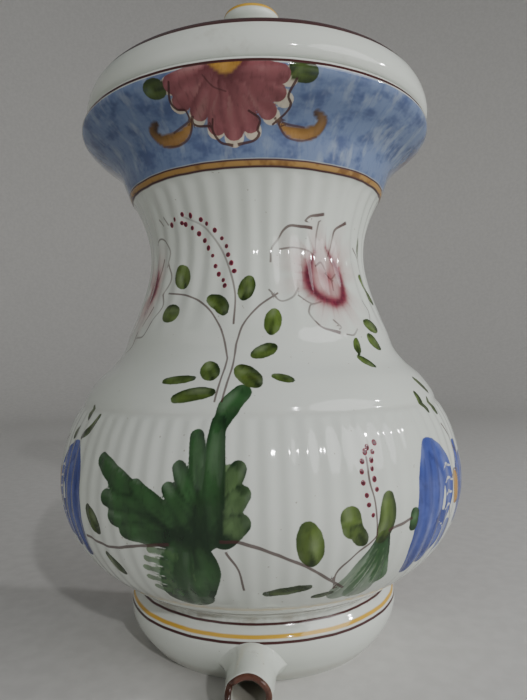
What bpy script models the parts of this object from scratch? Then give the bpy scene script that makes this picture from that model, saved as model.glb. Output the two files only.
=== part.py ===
# A glazed earthenware wall cistern with a lift-off lid, half round in front and flat behind.
# Metres, +Z up, the round front faces -Y, and the origin is on the base plane, under the
# middle of the whole object. Heights are measured up from the base plane and radii from
# the upright axis of the half-round front.
import math

import bmesh
import bpy
from mathutils import Matrix, Vector

# Driving dimensions
BODY_HEIGHT = 0.3345        # base plane to the top of the open rim
BULB_RADIUS = 0.1324        # widest half-round section
BULB_BOTTOM = 0.0380        # where the bulb meets the foot
STEP_HEIGHT = 0.1530        # ledge between the bulb and the shoulder
BAND_BOTTOM = 0.2880        # where the neck meets the flared band
WALL = 0.0070               # thickness of the thrown clay
JOINT_GAP = 0.0003          # room left between two pieces that touch
STRAIGHT_SIDE = 0.0055      # straight stretch of wall behind the half round
SLAB_THICKNESS = 0.0075     # flat back
FLOOR_UNDERSIDE = 0.0015
FLOOR_THICKNESS = 0.0070
FLOOR_RADIUS = 0.0660
HANGING_HOLE_RADIUS = 0.0045
HANGING_HOLE_HEIGHT = 0.3120
HANGING_HOLE_SPACING = 0.1100
NECK_FLUTES = 40            # in a full turn, so half as many show
BULB_FLUTES = 80
NECK_FLUTE_DEPTH = 0.0010
BULB_FLUTE_DEPTH = 0.0006
SPOUT_HEIGHT = 0.0145       # axis of the spout
SPOUT_OFFSET = -0.0022      # it was luted on a little left of the middle
SPOUT_BORE_RADIUS = 0.0086
SPOUT_TIP_RADIUS = 0.0124
SPOUT_ROOT_RADIUS = 0.0162
SPOUT_SOCKET = 0.0080       # stock behind the foot's surface, which the foot's shape cuts away
SPOUT_REACH = 0.1175        # from the axis of the round front to the mouth
LID_RADIUS = 0.1155
LID_OFFSET = 0.0018         # the loose lid sits a little right of the middle
LID_SEAT_INSET = 0.0220     # how far in from the lid's edge its thick rim reaches
LID_FLANGE_RADIUS = 0.0930
LID_FLANGE_DEPTH = 0.0120
LID_FLANGE_BACK = 0.0030    # its straight back, behind the round front's axis
LID_CROWN = 0.3680          # flat top of the dome, under the knob
KNOB_FORWARD = 0.0500       # knob's axis, in front of the round front's axis
KNOB_RADIUS = 0.0172
KNOB_TOP = 0.3940

# Places that follow from them
SLAB_FRONT = STRAIGHT_SIDE + JOINT_GAP
BACK_PLANE = SLAB_FRONT + SLAB_THICKNESS
FLOOR_TOP = FLOOR_UNDERSIDE + FLOOR_THICKNESS
AXIS_Y = (BULB_RADIUS - BACK_PLANE) / 2
LID_UNDERSIDE = BODY_HEIGHT + JOINT_GAP
KNOB_BASE = LID_CROWN + JOINT_GAP

# Outer sections as (radius, height), top to bottom
BAND_OUTSIDE = [
    (0.1152, BODY_HEIGHT), (0.1168, 0.3325), (0.1170, 0.3300), (0.1155, 0.3270),
    (0.1085, 0.3205), (0.1000, 0.3140), (0.0930, 0.3065), (0.0892, 0.2975),
    (0.0856, BAND_BOTTOM + JOINT_GAP),
]
NECK_OUTSIDE = [
    (0.0842, BAND_BOTTOM), (0.0786, 0.2760), (0.0742, 0.2600), (0.0737, 0.2440), (0.0770, 0.2280),
    (0.0825, 0.2120), (0.0880, 0.1990), (0.0918, 0.1880), (0.0990, 0.1785), (0.1080, 0.1705),
    (0.1150, 0.1610), (0.1182, STEP_HEIGHT + JOINT_GAP),
]
BULB_OUTSIDE = [
    (0.1192, STEP_HEIGHT), (0.1250, 0.1420), (0.1290, 0.1300), (0.1317, 0.1170),
    (BULB_RADIUS, 0.1060), (0.1313, 0.0950), (0.1275, 0.0825), (0.1212, 0.0705),
    (0.1120, 0.0590), (0.0985, 0.0480), (0.0832, BULB_BOTTOM + JOINT_GAP),
]
FOOT_OUTSIDE = [
    (0.0832, BULB_BOTTOM), (0.0845, 0.0345), (0.0874, 0.0305), (0.0889, 0.0265), (0.0887, 0.0215),
    (0.0868, 0.0150), (0.0830, 0.0085), (0.0785, 0.0030), (0.0755, 0.0),
]

# Inner sections, top to bottom
BAND_INSIDE = [
    (0.1022, BODY_HEIGHT), (0.1010, 0.3240), (0.0925, 0.3150), (0.0835, 0.3030),
    (0.0775, BAND_BOTTOM + JOINT_GAP),
]
NECK_INSIDE = [
    (0.0765, BAND_BOTTOM), (0.0700, 0.2720), (0.0665, 0.2480), (0.0700, 0.2280), (0.0810, 0.1970),
    (0.0860, 0.1860), (0.0985, 0.1715), (0.1085, STEP_HEIGHT + JOINT_GAP),
]
BULB_INSIDE = [
    (0.1095, STEP_HEIGHT), (0.1200, 0.1330), (0.1252, 0.1060), (0.1205, 0.0830),
    (0.1080, 0.0650), (0.0900, 0.0510), (0.0725, BULB_BOTTOM + JOINT_GAP),
]
FOOT_INSIDE = [
    (0.0725, BULB_BOTTOM), (0.0800, 0.0280), (0.0795, 0.0180), (0.0740, 0.0110),
    (FLOOR_RADIUS + JOINT_GAP, FLOOR_TOP),
]
FLOOR_SEAT = [(FLOOR_RADIUS + JOINT_GAP, 0.0)]

# The lid's edge as (distance in from the edge, height above the seat), bottom to top: a tucked-in
# foot, a round shoulder that leans in to a raised ridge, and a shallow hollow behind the ridge
LID_EDGE = [
    (0.0075, 0.0), (0.0030, 0.0008), (0.0008, 0.0032), (0.0, 0.0065), (0.0005, 0.0110),
    (0.0020, 0.0160), (0.0045, 0.0205), (0.0075, 0.0238), (0.0105, 0.0250), (0.0140, 0.0244),
    (0.0185, 0.0225),
]
# The lid's inner hollow and its dome as (roundness, height), where 0 follows the D of the edge
# and 1 is the round foot of the knob
LID_HOLLOW = [(1.0, LID_CROWN - WALL), (0.75, LID_CROWN - WALL - 0.0015),
              (0.3, LID_CROWN - WALL - 0.0065)]
LID_DOME = [(0.12, LID_UNDERSIDE + 0.0230), (0.4, LID_CROWN - 0.0050), (0.75, LID_CROWN - 0.0012),
            (1.0, LID_CROWN)]
KNOB_SIDE = [
    (0.0135, KNOB_TOP - 0.0003), (KNOB_RADIUS - 0.0010, KNOB_TOP - 0.0010),
    (KNOB_RADIUS, KNOB_TOP - 0.0030), (KNOB_RADIUS - 0.0004, KNOB_TOP - 0.0062),
    (KNOB_RADIUS - 0.0035, KNOB_TOP - 0.0105), (0.0100, KNOB_BASE + 0.0080),
    (0.0098, KNOB_BASE + 0.0040), (0.0140, KNOB_BASE),
]

BORE_OVERRUN = 0.0200       # how far a cutter runs past what it cuts
BLOCK_SIZE = 0.1000         # a cutter that is flat where it meets the part
HALF_TURN_STEPS = 80        # two facets to a bulb flute and four to a neck flute
PLAIN_STEPS = 40
LID_SIDES = 52
KNOB_STEPS = 28
SMOOTH_ANGLE = math.radians(35)


def clear_scene():
    for old in list(bpy.data.objects):
        bpy.data.objects.remove(old, do_unlink=True)


def new_collection(name):
    collection = bpy.data.collections.new(name)
    bpy.context.scene.collection.children.link(collection)
    return collection


def make_material(name, colour, roughness):
    material = bpy.data.materials.new(name)
    material.use_nodes = True
    shader = material.node_tree.nodes["Principled BSDF"]
    shader.inputs["Base Color"].default_value = (*colour, 1.0)
    shader.inputs["Roughness"].default_value = roughness
    shader.inputs["Metallic"].default_value = 0.0
    return material


def add_object(name, mesh, collection, material=None):
    obj = bpy.data.objects.new(name, mesh)
    collection.objects.link(obj)
    if material:
        mesh.materials.append(material)
        mesh.shade_smooth()
        mesh.set_sharp_from_angle(angle=SMOOTH_ANGLE)
    return obj


def add_cutter(name, mesh, cutters):
    cutter = add_object(name, mesh, cutters)
    cutter.hide_render = True
    cutter.display_type = "WIRE"
    return cutter


# Makes the primitive that was just added a cutter, in place of an object of its own
def primitive_cutter(name, cutters):
    made = bpy.context.object
    cutter = add_cutter(name, made.data, cutters)
    cutter.matrix_world = made.matrix_world.copy()
    bpy.data.objects.remove(made, do_unlink=True)
    return cutter


def cut(obj, cutter):
    modifier = obj.modifiers.new("cut_" + cutter.name, "BOOLEAN")
    modifier.operation = "DIFFERENCE"
    modifier.solver = "EXACT"
    modifier.object = cutter


# A smooth run through a few section points, which are all kept
def smooth_section(points, pieces=2):
    ends = [points[0], *points, points[-1]]
    run = []
    for before, start, end, after in zip(ends, ends[1:], ends[2:], ends[3:]):
        for part in range(pieces):
            t = part / pieces
            run.append(tuple(
                0.5 * (2 * p1 + (p2 - p0) * t + (2 * p0 - 5 * p1 + 4 * p2 - p3) * t * t
                       + (3 * p1 - p0 - 3 * p2 + p3) * t ** 3)
                for p0, p1, p2, p3 in zip(before, start, end, after)
            ))
    return [*run, points[-1]]


def radius_at(section, height):
    for (top_r, top_z), (low_r, low_z) in zip(section, section[1:]):
        if low_z <= height <= top_z:
            share = (top_z - height) / max(top_z - low_z, 1e-9)
            return top_r + share * (low_r - top_r)
    return section[0][0] if height > section[0][1] else section[-1][0]


# The surface made by turning a section about the upright axis, starting at +X
def turned_mesh(name, section, closed, angle, steps):
    mesh = bpy.data.meshes.new(name)
    count = len(section)
    edges = [(i, i + 1) for i in range(count - 1)]
    if closed:
        edges.append((count - 1, 0))
    mesh.from_pydata([(radius, 0.0, height) for radius, height in section], edges, [])
    blank = bpy.data.objects.new(name + "_blank", mesh)
    bpy.context.scene.collection.objects.link(blank)
    screw = blank.modifiers.new("turn", "SCREW")
    screw.axis = "Z"
    screw.angle = angle
    screw.steps = steps
    screw.render_steps = steps
    screw.use_merge_vertices = angle > math.pi * 1.5
    screw.merge_threshold = 0.00001
    screw.use_normal_calculate = True
    depsgraph = bpy.context.evaluated_depsgraph_get()
    turned = bpy.data.meshes.new_from_object(blank.evaluated_get(depsgraph))
    bpy.data.objects.remove(blank, do_unlink=True)
    turned.name = name
    return turned


def finish_mesh(bm, mesh, place):
    bmesh.ops.recalc_face_normals(bm, faces=bm.faces)
    bmesh.ops.transform(bm, matrix=place, verts=bm.verts)
    bm.to_mesh(mesh)
    bm.free()
    return mesh


# A wall that is half round in front and runs straight back to the slab. Flutes are pressed
# into its outer side, with crests at the middle and at both sides.
def wall_mesh(name, outside, inside, steps, flutes=0, depth_at=None, seat=()):
    outer = list(outside)
    inner = list(inside) + list(seat)
    mesh = turned_mesh(name, outer + inner[::-1], True, math.pi, steps)
    bm = bmesh.new()
    bm.from_mesh(mesh)
    bmesh.ops.rotate(bm, verts=bm.verts, cent=(0, 0, 0), matrix=Matrix.Rotation(math.pi, 3, "Z"))
    if flutes:
        for vert in bm.verts:
            radius = math.hypot(vert.co.x, vert.co.y)
            middle = (radius_at(outer, vert.co.z) + radius_at(inner, vert.co.z)) / 2
            if radius > middle:
                around = math.atan2(vert.co.y, vert.co.x)
                pressed = depth_at(vert.co.z) * (1 - math.cos(flutes * around)) / 2
                vert.co.x *= 1 - pressed / radius
                vert.co.y *= 1 - pressed / radius
    rims = [edge for edge in bm.edges if edge.is_boundary]
    grown = bmesh.ops.extrude_edge_only(bm, edges=rims)["geom"]
    ends = [item for item in grown if isinstance(item, bmesh.types.BMVert)]
    bmesh.ops.translate(bm, verts=ends, vec=(0, STRAIGHT_SIDE, 0))
    open_edges = [edge for edge in bm.edges if edge.is_boundary]
    bmesh.ops.holes_fill(bm, edges=open_edges, sides=0)
    return finish_mesh(bm, mesh, Matrix.Translation((0, AXIS_Y, 0)))


# How deep the flutes are pressed at a height: full between two heights, fading past them
def flute_depth(depth, full_top, full_bottom, faded_bottom):
    def depth_at(height):
        if height > full_top:
            return depth
        fade = (height - faded_bottom) / (full_bottom - faded_bottom)
        return depth * min(1.0, max(0.0, fade))
    return depth_at


# A D-shaped outline: round in front, straight behind. A back that lies in front of the round's
# own axis cuts the round short.
def d_outline(radius, back, steps):
    short = math.asin(max(-back, 0.0) / radius)
    turn = [math.pi + short + (math.pi - 2 * short) * i / steps for i in range(steps + 1)]
    arc = [(radius * math.cos(a), radius * math.sin(a)) for a in turn]
    return [*arc, (radius, back), (-radius, back)] if back > 0 else arc


# A flat plate of one or more outlines, each after the first being a hole
def plate_mesh(name, outlines, bottom, top, collection, upright=False):
    curve = bpy.data.curves.new(name + "_outline", "CURVE")
    curve.dimensions = "2D"
    curve.fill_mode = "BOTH"
    curve.extrude = (top - bottom) / 2
    for outline in outlines:
        spline = curve.splines.new("POLY")
        spline.points.add(len(outline) - 1)
        for point, (across, along) in zip(spline.points, outline):
            point.co = (across, along, 0, 1)
        spline.use_cyclic_u = True
    sheet = bpy.data.objects.new(name + "_sheet", curve)
    collection.objects.link(sheet)
    depsgraph = bpy.context.evaluated_depsgraph_get()
    mesh = bpy.data.meshes.new_from_object(sheet.evaluated_get(depsgraph))
    bpy.data.objects.remove(sheet, do_unlink=True)
    bm = bmesh.new()
    bm.from_mesh(mesh)
    bmesh.ops.remove_doubles(bm, verts=bm.verts, dist=0.00001)
    middle = (top + bottom) / 2
    if upright:
        place = Matrix.Translation((0, AXIS_Y + middle, 0)) @ Matrix.Rotation(math.pi / 2, 4, "X")
    else:
        place = Matrix.Translation((0, AXIS_Y, middle))
    return finish_mesh(bm, mesh, place)


def make_walls(parts, glaze, blue):
    foot = wall_mesh("foot_wall", FOOT_OUTSIDE, FOOT_INSIDE, PLAIN_STEPS, seat=FLOOR_SEAT)
    add_object("foot_wall", foot, parts, glaze)
    bulb_depth = flute_depth(BULB_FLUTE_DEPTH, STEP_HEIGHT, 0.070, 0.046)
    bulb = wall_mesh("bulb_wall", BULB_OUTSIDE, BULB_INSIDE, HALF_TURN_STEPS,
                     BULB_FLUTES, bulb_depth)
    add_object("bulb_wall", bulb, parts, glaze)
    neck_depth = flute_depth(NECK_FLUTE_DEPTH, BAND_BOTTOM, 0.225, 0.190)
    neck = wall_mesh("neck_wall", NECK_OUTSIDE, NECK_INSIDE, HALF_TURN_STEPS,
                     NECK_FLUTES, neck_depth)
    add_object("neck_wall", neck, parts, glaze)
    band = wall_mesh("flared_band", BAND_OUTSIDE, BAND_INSIDE, PLAIN_STEPS)
    add_object("flared_band", band, parts, blue)


def make_floor(parts, clay):
    outline = d_outline(FLOOR_RADIUS, STRAIGHT_SIDE, PLAIN_STEPS)
    mesh = plate_mesh("floor_plate", [outline], FLOOR_UNDERSIDE, FLOOR_TOP, parts)
    add_object("floor_plate", mesh, parts, clay)


# The flat back follows the outer section of the whole front on both sides
def make_back_slab(parts, cutters, clay):
    side = []
    for section in (BAND_OUTSIDE, NECK_OUTSIDE, BULB_OUTSIDE, FOOT_OUTSIDE):
        side += section
    outline = side + [(-radius, height) for radius, height in reversed(side)]
    mesh = plate_mesh("back_slab", [outline], SLAB_FRONT, BACK_PLANE, parts, upright=True)
    slab = add_object("back_slab", mesh, parts, clay)
    for side_name, way in (("left", -1), ("right", 1)):
        bpy.ops.mesh.primitive_cylinder_add(
            vertices=24, radius=HANGING_HOLE_RADIUS, depth=SLAB_THICKNESS * 3,
            location=(way * HANGING_HOLE_SPACING / 2, AXIS_Y + (SLAB_FRONT + BACK_PLANE) / 2,
                      HANGING_HOLE_HEIGHT),
            rotation=(math.pi / 2, 0, 0))
        bpy.context.view_layer.update()
        cut(slab, primitive_cutter("hanging_hole_" + side_name, cutters))


# The spout is luted to the outside of the foot, and one bore runs through both
def make_spout(parts, cutters, glaze):
    place = Matrix.Translation((SPOUT_OFFSET, AXIS_Y, SPOUT_HEIGHT))
    place = place @ Matrix.Rotation(math.pi / 2, 4, "X")
    root = radius_at(FOOT_OUTSIDE, SPOUT_HEIGHT)
    inner_end = root - SPOUT_SOCKET
    outer = [
        (SPOUT_TIP_RADIUS - 0.0014, SPOUT_REACH), (SPOUT_TIP_RADIUS, SPOUT_REACH - 0.0020),
        (SPOUT_TIP_RADIUS + 0.0006, SPOUT_REACH - 0.0130), (0.0140, root + 0.0090),
        (0.0150, root + 0.0045), (SPOUT_ROOT_RADIUS, root), (SPOUT_ROOT_RADIUS, inner_end),
    ]
    inner = [(SPOUT_BORE_RADIUS, SPOUT_REACH), (SPOUT_BORE_RADIUS, inner_end)]
    mesh = turned_mesh("spout", smooth_section(outer) + inner[::-1], True, 2 * math.pi, KNOB_STEPS)
    bm = bmesh.new()
    bm.from_mesh(mesh)
    spout = add_object("spout", finish_mesh(bm, mesh, place), parts, glaze)

    clearance = [(radius + JOINT_GAP, height) for radius, height in FOOT_OUTSIDE]
    core_top, core_bottom = BULB_BOTTOM + BORE_OVERRUN, -BORE_OVERRUN
    core = [(0.0, core_top), (clearance[0][0], core_top), *clearance,
            (clearance[-1][0], core_bottom), (0.0, core_bottom)]
    core_mesh = turned_mesh("foot_core", core, False, 2 * math.pi, PLAIN_STEPS * 2)
    bm = bmesh.new()
    bm.from_mesh(core_mesh)
    bmesh.ops.remove_doubles(bm, verts=bm.verts, dist=0.00001)
    finish_mesh(bm, core_mesh, Matrix.Translation((0, AXIS_Y, 0)))
    cut(spout, add_cutter("foot_core", core_mesh, cutters))

    below = BLOCK_SIZE / 2
    bpy.ops.mesh.primitive_cube_add(size=BLOCK_SIZE, location=(0, AXIS_Y - root, JOINT_GAP - below))
    bpy.context.view_layer.update()
    cut(spout, primitive_cutter("base_plane", cutters))

    outer_end, inner_end = root + BORE_OVERRUN, root - BORE_OVERRUN
    bore = [(0.0, outer_end), (SPOUT_BORE_RADIUS, outer_end), (SPOUT_BORE_RADIUS, inner_end),
            (0.0, inner_end)]
    bore_mesh = turned_mesh("spout_bore", bore, False, 2 * math.pi, KNOB_STEPS)
    bm = bmesh.new()
    bm.from_mesh(bore_mesh)
    bmesh.ops.remove_doubles(bm, verts=bm.verts, dist=0.00001)
    finish_mesh(bm, bore_mesh, place)
    cut(parts.objects["foot_wall"], add_cutter("spout_bore", bore_mesh, cutters))


# The lid's cover is lofted in rings that pass from the D of the rim to the knob's round base
def make_lid_cover(parts, glaze):
    knob_centre = Vector((0, -KNOB_FORWARD))
    corners = [math.atan2(BACK_PLANE + KNOB_FORWARD, way * LID_RADIUS) for way in (-1, 1)]
    around = [2 * math.pi * i / LID_SIDES for i in range(LID_SIDES)]
    around = sorted([*around, *corners])

    # distance from the knob's axis to a D of this radius, with its back inset alike
    def reach(angle, inset):
        way = Vector((math.cos(angle), math.sin(angle)))
        radius = LID_RADIUS - inset
        back = BACK_PLANE - inset
        along = -knob_centre.dot(way)
        length = along + math.sqrt(along ** 2 - knob_centre.length_squared + radius ** 2)
        if knob_centre.y + length * way.y > 0:
            side = math.copysign(radius, way.x) - knob_centre.x
            length = side / way.x if abs(way.x) > 1e-6 else math.inf
            length = min(length, (back - knob_centre.y) / way.y)
        return length

    def ring(inset, height, roundness):
        base = KNOB_RADIUS * 0.9
        points = []
        for angle in around:
            length = reach(angle, inset) * (1 - roundness) + base * roundness
            points.append((LID_OFFSET + length * math.cos(angle),
                           AXIS_Y + knob_centre.y + length * math.sin(angle), height))
        return points

    seat = LID_SEAT_INSET
    rings = [ring(seat, height, roundness) for roundness, height in LID_HOLLOW]
    rings += [ring(seat, LID_UNDERSIDE + WALL, 0.0), ring(seat - 0.0040, LID_UNDERSIDE, 0.0)]
    rings += [ring(inset, LID_UNDERSIDE + height, 0.0) for inset, height in LID_EDGE]
    rings += [ring(seat, height, roundness) for roundness, height in LID_DOME]

    bm = bmesh.new()
    loops = [[bm.verts.new(point) for point in points] for points in rings]
    count = len(around)
    for low, high in zip(loops, loops[1:]):
        for i in range(count):
            j = (i + 1) % count
            bm.faces.new((low[i], low[j], high[j], high[i]))
    bm.faces.new(loops[0])
    bm.faces.new(loops[-1])
    mesh = bpy.data.meshes.new("lid_cover")
    add_object("lid_cover", finish_mesh(bm, mesh, Matrix.Identity(4)), parts, glaze)


def make_lid_flange(parts, glaze):
    outer = d_outline(LID_FLANGE_RADIUS, LID_FLANGE_BACK, PLAIN_STEPS)
    inner = d_outline(LID_FLANGE_RADIUS - WALL, LID_FLANGE_BACK - WALL, PLAIN_STEPS)
    seat = LID_UNDERSIDE - JOINT_GAP
    mesh = plate_mesh("lid_flange", [outer, inner], seat - LID_FLANGE_DEPTH, seat, parts)
    add_object("lid_flange", mesh, parts, glaze).location.x = LID_OFFSET


def make_lid_knob(parts, glaze):
    section = [(0.0, KNOB_TOP), *smooth_section(KNOB_SIDE), (0.0, KNOB_BASE)]
    mesh = turned_mesh("lid_knob", section, False, 2 * math.pi, KNOB_STEPS)
    bm = bmesh.new()
    bm.from_mesh(mesh)
    bmesh.ops.remove_doubles(bm, verts=bm.verts, dist=0.00001)
    place = Matrix.Translation((LID_OFFSET, AXIS_Y - KNOB_FORWARD, 0))
    add_object("lid_knob", finish_mesh(bm, mesh, place), parts, glaze)


def main():
    clear_scene()
    parts = new_collection("wall_cistern")
    cutters = new_collection("cutters")
    glaze = make_material("white_glaze", (0.72, 0.74, 0.71), 0.12)
    blue = make_material("blue_glaze", (0.16, 0.27, 0.56), 0.15)
    clay = make_material("bare_clay", (0.55, 0.40, 0.29), 0.85)
    make_walls(parts, glaze, blue)
    make_floor(parts, clay)
    make_back_slab(parts, cutters, clay)
    make_spout(parts, cutters, glaze)
    make_lid_cover(parts, glaze)
    make_lid_flange(parts, glaze)
    make_lid_knob(parts, glaze)


main()
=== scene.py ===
import math

import bmesh
import bpy
import numpy as np
from mathutils import Euler, Matrix, Vector


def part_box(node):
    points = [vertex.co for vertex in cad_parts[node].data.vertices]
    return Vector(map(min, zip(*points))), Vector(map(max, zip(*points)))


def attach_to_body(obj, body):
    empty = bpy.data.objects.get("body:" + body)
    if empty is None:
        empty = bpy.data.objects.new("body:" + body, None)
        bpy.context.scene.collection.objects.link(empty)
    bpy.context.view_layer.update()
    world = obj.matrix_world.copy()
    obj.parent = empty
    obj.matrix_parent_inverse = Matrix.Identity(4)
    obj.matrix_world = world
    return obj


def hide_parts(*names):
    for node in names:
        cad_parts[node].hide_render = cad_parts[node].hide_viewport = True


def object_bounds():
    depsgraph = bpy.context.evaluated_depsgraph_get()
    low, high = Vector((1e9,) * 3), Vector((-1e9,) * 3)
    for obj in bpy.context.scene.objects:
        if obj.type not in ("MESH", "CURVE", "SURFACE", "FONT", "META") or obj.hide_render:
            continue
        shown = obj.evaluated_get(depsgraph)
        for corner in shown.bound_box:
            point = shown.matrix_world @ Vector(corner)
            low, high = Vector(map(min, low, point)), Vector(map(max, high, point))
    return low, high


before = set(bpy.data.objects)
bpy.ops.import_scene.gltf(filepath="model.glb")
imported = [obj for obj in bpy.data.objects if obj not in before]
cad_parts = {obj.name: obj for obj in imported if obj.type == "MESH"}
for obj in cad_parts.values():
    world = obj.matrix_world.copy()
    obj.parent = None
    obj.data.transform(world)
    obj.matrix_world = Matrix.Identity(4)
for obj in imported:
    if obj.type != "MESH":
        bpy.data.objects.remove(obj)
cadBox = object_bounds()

# A glazed earthenware wall cistern: half round in front, closed by a flat back, glazed white and
# painted by hand. Lengths are millimetres until a mesh is made. Angles are degrees about the round
# front's own upright axis: 0 is the front middle, and they grow towards +X.
toMetres = 0.001
bulbRadius = (cadBox[1].x - cadBox[0].x) / 2
axisY = (cadBox[0].y + bulbRadius) / toMetres
backPlane = cadBox[1].y / toMetres
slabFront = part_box("back_slab")[0].y / toMetres


class Wire:
    # one socket of a material; sums on it add Math nodes
    def __init__(self, tree, socket):
        self.tree = tree
        self.socket = socket

    def node(self, kind, settings=None, sockets=None, output=0):
        made = self.tree.nodes.new("ShaderNode" + kind)
        for name, value in (settings or {}).items():
            if name == "stops":
                ramp = made.color_ramp.elements
                while len(ramp) < len(value):
                    ramp.new(0.5)
                for stop, (place, colour) in zip(ramp, value):
                    stop.position = place
                    stop.color = (*colour, 1.0)
            else:
                setattr(made, name, value)
        for name, value in (sockets or {}).items():
            socket = made.inputs[name]
            if isinstance(value, Wire):
                self.tree.links.new(value.socket, socket)
            else:
                socket.default_value = value
        return Wire(self.tree, made.outputs[output])

    def math(self, operation, *values):
        return self.node("Math", {"operation": operation}, dict(enumerate((self, *values))))

    def __add__(self, other):
        return self.math("ADD", other)

    def __radd__(self, other):
        return self.math("ADD", other)

    def __mul__(self, other):
        return self.math("MULTIPLY", other)

    def __rmul__(self, other):
        return self.math("MULTIPLY", other)

    def __sub__(self, other):
        return self.math("SUBTRACT", other)

    def __rsub__(self, other):
        return (self * -1.0) + other

    def size(self):
        return self.math("ABSOLUTE")

    def step(self, low, high):      # 0 below low, 1 above high, smooth between
        return self.node("MapRange", {"interpolation_type": "SMOOTHSTEP", "clamp": True},
                         {"Value": self, "From Min": low, "From Max": high})

    def within(self, centre, halfWidth, blur):      # 1 inside a line, 0 away from it
        return 1 - (self - centre).size().step(halfWidth - blur, halfWidth + blur)

    def over(self, base, mask):     # this colour laid on another through a mask
        return self.node("Mix", {"data_type": "RGBA", "clamp_factor": True},
                         {"Factor": mask, "A": base, "B": self}, output=2)


def newMaterial(name):
    material = bpy.data.materials.new(name)
    material.use_nodes = True
    tree = material.node_tree
    shader = tree.nodes["Principled BSDF"]
    return material, Wire(tree, None), shader


def attach(wire, shader, name):
    wire.tree.links.new(wire.socket, shader.inputs[name])


def attribute(start, name, output="Fac"):
    return start.node("Attribute", {"attribute_name": name}, output=output)


def noise(start, where, scale, detail=2.0, rough=0.5, output="Fac"):
    return start.node("TexNoise", {"noise_dimensions": "3D"},
                      {"Vector": where, "Scale": scale, "Detail": detail, "Roughness": rough},
                      output=output)


def stretched(start, where, x, y, z=1.0):
    return start.node("VectorMath", {"operation": "MULTIPLY"}, {0: where, 1: (x, y, z)})


# a fixed colour that a mask can lay on another
def flat(start, colour):
    return start.node("Mix", {"data_type": "RGBA"},
                      {"Factor": 0.0, "A": (*colour, 1.0), "B": (*colour, 1.0)}, output=2)


# one fixed colour, with another over it through a mask
def flatPair(start, one, other, mask):
    return flat(start, other).over(flat(start, one), mask)


cistern = {
    "rowGap": 1.65,             # between rings of the outer skin
    "turnStep": 0.44,           # degrees between its columns, and double that at the sides
    "wall": 7.0,
    "rimWall": 13.0,
    "neckFlutes": 40,
    "neckFluteDepth": 0.9,
    "bulbFlutes": 80,
    "bulbFluteDepth": 0.5,
    "ledgeGroove": 0.5,         # soft hollow where the shoulder meets the bulb
    "ledge": 154.0,
    "glazeEdge": 2.2,           # how far the glaze runs round onto the back
    "holeRadius": 4.5,
    "holeHeight": 312.0,
    "holeSpacing": 110.0,
}


# a smooth run through given points, about gap apart
def smoothRun(points, gap):
    points = np.array(points, float)
    ends = np.vstack([2 * points[0] - points[1], points, 2 * points[-1] - points[-2]])
    run = []
    for before, start, end, after in zip(ends, ends[1:], ends[2:], ends[3:]):
        pieces = max(1, int(math.ceil(np.linalg.norm(end - start) / gap)))
        t = (np.arange(pieces) / pieces)[:, None]
        run.append(0.5 * (2 * start + (end - before) * t
                          + (2 * before - 5 * start + 4 * end - after) * t ** 2
                          + (3 * start - before - 3 * end + after) * t ** 3))
    return np.vstack([*run, points[-1:]])


def pathLength(run):
    return np.concatenate([[0.0], np.cumsum(np.linalg.norm(np.diff(run, axis=0), axis=1))])


def evenly(run, gap):
    path = pathLength(run)
    places = np.linspace(0, path[-1], max(2, int(round(path[-1] / gap)) + 1))
    return np.stack([np.interp(places, path, column) for column in run.T], axis=1)


# the outer section, read from the flat back's own outline: (radius, height), top down
def outerSection():
    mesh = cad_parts["back_slab"].data
    farSide = bulbRadius / 2
    edge = {(round(v.co.x / toMetres, 2), round(v.co.z / toMetres, 2))
            for v in mesh.vertices if v.co.x > farSide}
    edge = sorted(edge, key=lambda point: -point[1])
    runs = [[edge[0]]]
    for point in edge[1:]:
        if runs[-1][-1][1] - point[1] < 0.5:        # the sections meet with a hair's gap
            runs.append([])
        runs[-1].append(point)
    dense = evenly(np.vstack([smoothRun(run, 0.5) for run in runs]), 0.4)
    soft = dense.copy()
    for _ in range(12):                              # glaze rounds every crease a little
        soft[1:-1] = (soft[:-2] + 2 * soft[1:-1] + soft[2:]) / 4
    soft[:, 0] -= cistern["ledgeGroove"] * np.exp(-((soft[:, 1] - cistern["ledge"]) / 1.8) ** 2)
    return soft


section = outerSection()
sectionPath = pathLength(section)
upHeights = section[::-1, 1]


def radiusAt(height):
    return np.interp(height, upHeights, section[::-1, 0])


def pathAt(height):     # distance down the skin from the rim
    return np.interp(height, upHeights, sectionPath[::-1])


def fade(value, empty, full):
    t = np.clip((value - empty) / (full - empty), 0, 1)
    return t * t * (3 - 2 * t)


# how far the flutes are pressed in at an angle and a height
def pressedAt(angle, height):
    turn = np.radians(angle)
    neck = fade(height, 190, 226) * (1 - fade(height, 284, 289)) * cistern["neckFluteDepth"]
    bulb = fade(height, 46, 70) * (1 - fade(height, 150, 153.5)) * cistern["bulbFluteDepth"]
    return (neck * (1 - np.cos(cistern["neckFlutes"] * turn)) / 2
            + bulb * (1 - np.cos(cistern["bulbFlutes"] * turn)) / 2)


# a point on the round front, lifted off the skin
def skinPoint(angle, height, lift=0.0):
    depth = radiusAt(height) - pressedAt(angle, height) + lift
    turn = math.radians(angle)
    return Vector((depth * math.sin(turn), axisY - depth * math.cos(turn), height))


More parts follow.
